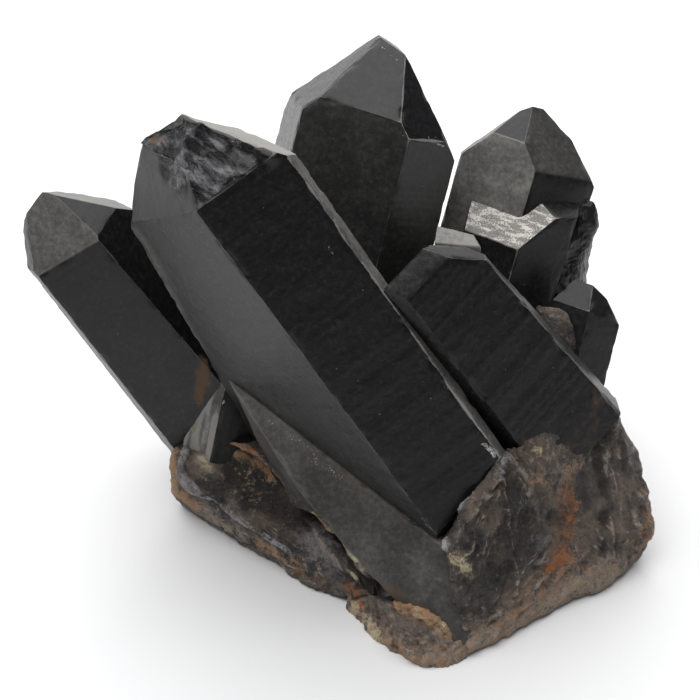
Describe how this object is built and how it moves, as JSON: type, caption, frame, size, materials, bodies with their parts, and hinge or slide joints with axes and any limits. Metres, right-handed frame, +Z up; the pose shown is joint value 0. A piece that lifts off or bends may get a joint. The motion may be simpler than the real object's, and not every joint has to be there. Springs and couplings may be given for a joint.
{
  "type": "rough morion quartz cluster",
  "caption": "Natural cluster of smoky black quartz prisms with hexagonal points, leaning out of a rough broken root mass with rust and clay stains. Rests on its flat underside.",
  "frame": {"origin": "centre of the whole cluster's box, on the flat underside that it rests on", "axes": "+Z up, +X to the right along the cluster's long side, +Y to the back, so that the thickest crystal leans up and to the left in front"},
  "size_m": [0.159, 0.1132, 0.1206],
  "materials": {
    "morion": "vitreous, near-black smoky quartz",
    "stained_quartz": "rough, broken, rust and clay stained"
  },
  "bodies": {
    "root": {"base_matrix": "stained_quartz", "main_crystal": "morion", "left_crystal": "morion", "rear_center_crystal": "morion", "right_crystal": "morion", "rear_right_crystal": "morion", "far_right_crystal": "morion", "lower_left_crystal": "morion"}
  },
  "joints": []
}
